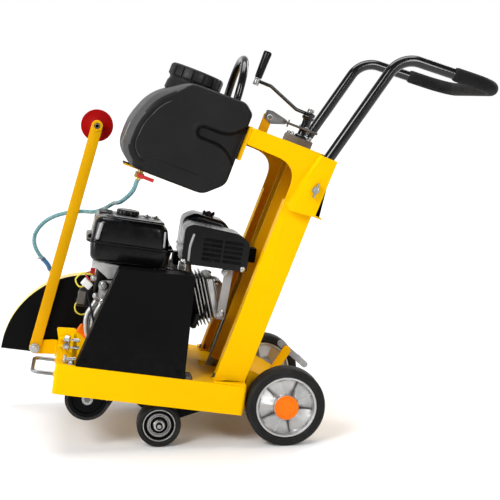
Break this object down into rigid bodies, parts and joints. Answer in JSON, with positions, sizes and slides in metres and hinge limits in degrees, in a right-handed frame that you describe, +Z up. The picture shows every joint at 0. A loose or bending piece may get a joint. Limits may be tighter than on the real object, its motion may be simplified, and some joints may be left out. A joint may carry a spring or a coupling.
{
  "type": "walk-behind concrete saw",
  "caption": "Petrol walk-behind concrete saw on four wheels, with a water tank, depth crank, line pointer, belt drive and half-round blade guard.",
  "frame": {"origin": "on the floor under the centre of the machine's bounding box, standing on its four wheels with the deck raised 9 degrees at the front", "axes": "+X towards the operator's handle, +Y towards the blade side, +Z up"},
  "size_m": [1.158, 0.4572, 0.8903],
  "materials": {
    "yellow_paint": "satin",
    "amber_paint": "satin",
    "black_gloss": "gloss",
    "black_satin": "satin",
    "tank_plastic": "matte",
    "black_plastic": "matte",
    "foam": "matte",
    "tyre_rubber": "matte",
    "belt_rubber": "matte",
    "cast_alloy": "cast",
    "zinc": "plated",
    "steel": "machined",
    "brass": "satin",
    "red_paint": "satin",
    "red_plastic": "gloss",
    "orange_plastic": "satin",
    "hose_plastic": "satin"
  },
  "bodies": {
    "chassis": {"base_frame": "yellow_paint", "axle_cradle": "yellow_paint", "front_handle": "zinc", "rear_axle": "steel", "column_near_plate": "yellow_paint", "column_far_plate": "yellow_paint", "column_front_plate": "amber_paint", "column_cross_plate": "amber_paint", "screw_guide": "amber_paint", "bearing_block": "steel", "water_tank": "tank_plastic", "lifting_bail": "black_gloss", "tank_outlet": "brass", "blade_guard": "black_gloss", "spindle_housing": "cast_alloy", "drive_belt": "belt_rubber", "belt_guard": "black_satin", "pointer_bracket": "yellow_paint", "engine_block": "cast_alloy", "recoil_housing": "black_gloss", "valve_cover": "cast_alloy", "fuel_tank": "black_gloss", "muffler": "steel", "muffler_guard": "black_gloss", "air_cleaner": "black_plastic", "carburettor": "cast_alloy", "water_hose": "hose_plastic"},
    "rear_wheel_near": {"rear_tyre_near": "tyre_rubber", "rear_rim_near": "cast_alloy"},
    "rear_wheel_far": {"rear_tyre_far": "tyre_rubber", "rear_rim_far": "cast_alloy"},
    "crank": {"lift_screw": "black_gloss", "crank_arm": "black_gloss"},
    "crank_grip": {"crank_grip": "black_plastic"},
    "push_rod": {"push_rod": "steel"},
    "swing_frame": {"swing_frame": "black_satin"},
    "front_wheel_near": {"front_wheel_near": "tyre_rubber"},
    "front_wheel_far": {"front_wheel_far": "tyre_rubber"},
    "lock_latch": {"lock_latch": "steel"},
    "handlebar": {"handlebar": "black_gloss", "handle_grip": "foam"},
    "wing_bolt_near": {"wing_bolt_near": "zinc"},
    "wing_bolt_far": {"wing_bolt_far": "zinc"},
    "tank_cap": {"tank_cap": "black_plastic"},
    "valve_lever": {"valve_lever": "red_plastic"},
    "pointer_arm": {"pointer_arm": "amber_paint"},
    "pointer_disc": {"pointer_disc": "red_paint"},
    "crankshaft": {"crankshaft": "steel", "drive_pulley": "black_satin"},
    "blade_shaft": {"blade_shaft": "steel", "driven_pulley": "black_satin", "inner_flange": "steel", "outer_flange": "steel"},
    "starter_grip": {"starter_grip": "black_plastic"},
    "throttle_lever": {"throttle_lever": "zinc"},
    "choke_lever": {"choke_lever": "black_plastic"},
    "engine_switch": {"engine_switch": "red_plastic"},
    "fuel_cap": {"fuel_cap": "black_plastic"},
    "oil_cap": {"oil_cap": "orange_plastic"},
    "brake_lever": {"brake_lever": "zinc"}
  },
  "joints": [
    {"name": "rear_wheel_near_spin", "type": "hinge", "parent": "chassis", "child": "rear_wheel_near", "pos_m": [0.08025, -0.1954, 0.08968], "axis": [0, 1, 0], "continuous": true},
    {"name": "rear_wheel_far_spin", "type": "hinge", "parent": "chassis", "child": "rear_wheel_far", "pos_m": [0.08025, 0.1606, 0.08968], "axis": [0, 1, 0], "continuous": true},
    {"name": "crank_spin", "type": "hinge", "parent": "chassis", "child": "crank", "pos_m": [0.15379, -0.0174, 0.71137], "axis": [0.3665, 0, 0.9304], "range_deg": [-1260, 1260]},
    {"name": "push_rod_slide", "type": "slide", "parent": "chassis", "child": "push_rod", "axis": [-0.3665, 0, -0.9304], "range_m": [-0.0142, 0.0142]},
    {"name": "swing_lift", "type": "hinge", "parent": "chassis", "child": "swing_frame", "pos_m": [-0.03511, -0.0174, 0.10289], "axis": [0, -1, 0], "range_deg": [-16.6, 16.6]},
    {"name": "front_wheel_near_spin", "type": "hinge", "parent": "swing_frame", "child": "front_wheel_near", "pos_m": [-0.20549, -0.1664, 0.04989], "axis": [0, 1, 0], "continuous": true},
    {"name": "front_wheel_far_spin", "type": "hinge", "parent": "swing_frame", "child": "front_wheel_far", "pos_m": [-0.20549, 0.1316, 0.04989], "axis": [0, 1, 0], "continuous": true},
    {"name": "crank_grip_spin", "type": "hinge", "parent": "crank", "child": "crank_grip", "pos_m": [0.0546, -0.0174, 0.85792], "axis": [0.3665, 0, 0.9304], "continuous": true},
    {"name": "lock_latch_lift", "type": "hinge", "parent": "chassis", "child": "lock_latch", "pos_m": [0.06526, -0.0494, 0.73764], "axis": [0, -1, 0], "range_deg": [0, 60]},
    {"name": "handlebar_extend", "type": "slide", "parent": "chassis", "child": "handlebar", "axis": [0.5807, 0, 0.8141], "range_m": [0, 0.08]},
    {"name": "wing_bolt_near_turn", "type": "hinge", "parent": "chassis", "child": "wing_bolt_near", "pos_m": [0.14111, -0.2174, 0.58094], "axis": [0, 1, 0], "range_deg": [0, 720]},
    {"name": "wing_bolt_far_turn", "type": "hinge", "parent": "chassis", "child": "wing_bolt_far", "pos_m": [0.14111, 0.1826, 0.58094], "axis": [0, 1, 0], "range_deg": [0, 720]},
    {"name": "tank_cap_turn", "type": "hinge", "parent": "chassis", "child": "tank_cap", "pos_m": [-0.10216, -0.0174, 0.82831], "axis": [0.3665, 0, 0.9304], "range_deg": [0, 120]},
    {"name": "valve_turn", "type": "hinge", "parent": "chassis", "child": "valve_lever", "pos_m": [-0.24084, -0.1244, 0.60994], "axis": [0, 1, 0], "range_deg": [0, 90]},
    {"name": "pointer_fold", "type": "hinge", "parent": "chassis", "child": "pointer_arm", "pos_m": [-0.49408, 0.1656, 0.15837], "axis": [0, -1, 0], "range_deg": [0, 112]},
    {"name": "pointer_disc_spin", "type": "hinge", "parent": "pointer_arm", "child": "pointer_disc", "pos_m": [-0.32953, 0.1826, 0.71144], "axis": [0, 1, 0], "continuous": true},
    {"name": "engine_spin", "type": "hinge", "parent": "chassis", "child": "crankshaft", "pos_m": [-0.23075, -0.0174, 0.28676], "axis": [0, 1, 0], "continuous": true},
    {"name": "blade_shaft_spin", "type": "hinge", "parent": "chassis", "child": "blade_shaft", "pos_m": [-0.36439, -0.0174, 0.12061], "axis": [0, 1, 0], "continuous": true},
    {"name": "starter_pull", "type": "slide", "parent": "chassis", "child": "starter_grip", "axis": [-0.5736, 0, 0.8192], "range_m": [0, 0.3], "stiffness_N_per_m": 40, "springref_m": -0.1},
    {"name": "throttle_move", "type": "hinge", "parent": "chassis", "child": "throttle_lever", "pos_m": [-0.17378, 0.0794, 0.37797], "axis": [0, 1, 0], "range_deg": [-35, 12]},
    {"name": "choke_move", "type": "hinge", "parent": "chassis", "child": "choke_lever", "pos_m": [-0.14468, 0.0794, 0.35716], "axis": [0, 1, 0], "range_deg": [-20, 40]},
    {"name": "switch_turn", "type": "hinge", "parent": "chassis", "child": "engine_switch", "pos_m": [-0.34701, 0.0226, 0.37098], "axis": [0.9877, 0, -0.1564], "range_deg": [0, 90]},
    {"name": "fuel_cap_turn", "type": "hinge", "parent": "chassis", "child": "fuel_cap", "pos_m": [-0.26184, 0.0166, 0.5124], "axis": [0.1564, 0, 0.9877], "range_deg": [0, 120]},
    {"name": "oil_cap_turn", "type": "hinge", "parent": "chassis", "child": "oil_cap", "pos_m": [-0.37056, -0.0924, 0.25423], "axis": [-0.7968, 0, 0.6043], "range_deg": [0, 360]},
    {"name": "brake_press", "type": "hinge", "parent": "chassis", "child": "brake_lever", "pos_m": [0.13481, 0.0896, 0.15292], "axis": [0, 1, 0], "range_deg": [0, 7.5]}
  ],
  "couplings": [
    {"joint": "push_rod_slide", "follows": "crank_spin", "m_per_rad": 0.00063662},
    {"joint": "swing_lift", "follows": "crank_spin", "ratio": 0.013095},
    {"joint": "blade_shaft_spin", "follows": "engine_spin", "ratio": 0.81395}
  ]
}
